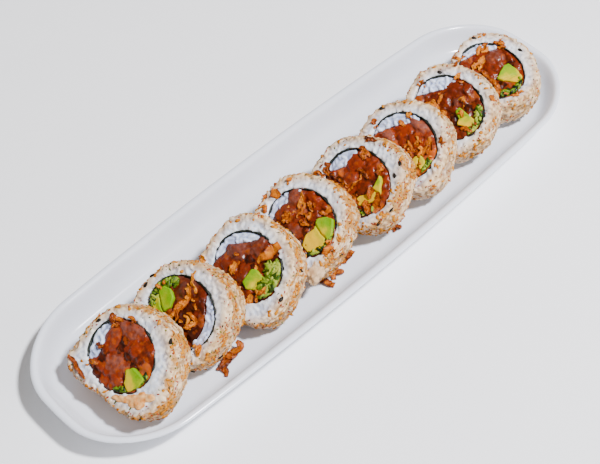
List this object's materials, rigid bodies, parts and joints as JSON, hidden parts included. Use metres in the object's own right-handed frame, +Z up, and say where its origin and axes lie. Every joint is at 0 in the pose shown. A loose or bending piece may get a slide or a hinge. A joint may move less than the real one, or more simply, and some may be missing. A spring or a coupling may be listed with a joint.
{
  "type": "uramaki roll",
  "caption": "Inside-out sushi roll cut in pieces, leaning in a row on a long white plate: rice outside, nori loop, tucked rice flap, spicy tuna, avocado, greens and fried onion",
  "frame": {"origin": "under the middle of the plate, at the height of its foot", "axes": "+X runs along the plate towards the piece that lies flattest, +Z up; the cut faces look towards -X and up"},
  "size_m": [0.32, 0.094, 0.0475],
  "materials": {
    "porcelain": "clear glossy glaze",
    "rice": "cooked rice, moist",
    "nori": "dark seaweed sheet, satin",
    "inner_rice": "cooked rice, moist, slightly cool",
    "tuna": "chopped raw tuna in sauce, wet",
    "avocado": "cut avocado, satin",
    "greens": "chopped green leaf and cucumber",
    "fried_onion": "crisp fried onion"
  },
  "bodies": {
    "root": {"plate": "porcelain", "roll_1_rice_outer": "rice", "roll_1_nori": "nori", "roll_1_rice_flap": "inner_rice", "roll_1_tuna": "tuna", "roll_1_avocado": "avocado", "roll_1_greens": "greens", "roll_2_rice_outer": "rice", "roll_2_nori": "nori", "roll_2_rice_flap": "inner_rice", "roll_2_tuna": "tuna", "roll_2_avocado": "avocado", "roll_2_greens": "greens", "roll_3_rice_outer": "rice", "roll_3_nori": "nori", "roll_3_rice_flap": "inner_rice", "roll_3_tuna": "tuna", "roll_3_avocado": "avocado", "roll_3_greens": "greens", "roll_4_rice_outer": "rice", "roll_4_nori": "nori", "roll_4_rice_flap": "inner_rice", "roll_4_tuna": "tuna", "roll_4_avocado": "avocado", "roll_4_greens": "greens", "roll_5_rice_outer": "rice", "roll_5_nori": "nori", "roll_5_rice_flap": "inner_rice", "roll_5_tuna": "tuna", "roll_5_avocado": "avocado", "roll_5_greens": "greens", "roll_6_rice_outer": "rice", "roll_6_nori": "nori", "roll_6_rice_flap": "inner_rice", "roll_6_tuna": "tuna", "roll_6_avocado": "avocado", "roll_6_greens": "greens", "roll_7_rice_outer": "rice", "roll_7_nori": "nori", "roll_7_rice_flap": "inner_rice", "roll_7_tuna": "tuna", "roll_7_avocado": "avocado", "roll_7_greens": "greens", "roll_8_rice_outer": "rice", "roll_8_nori": "nori", "roll_8_rice_flap": "inner_rice", "roll_8_tuna": "tuna", "roll_8_avocado": "avocado", "roll_8_greens": "greens", "loose_onion_1": "fried_onion", "loose_onion_2": "fried_onion", "loose_onion_3": "fried_onion", "loose_onion_4": "fried_onion", "loose_onion_5": "fried_onion"}
  },
  "joints": []
}
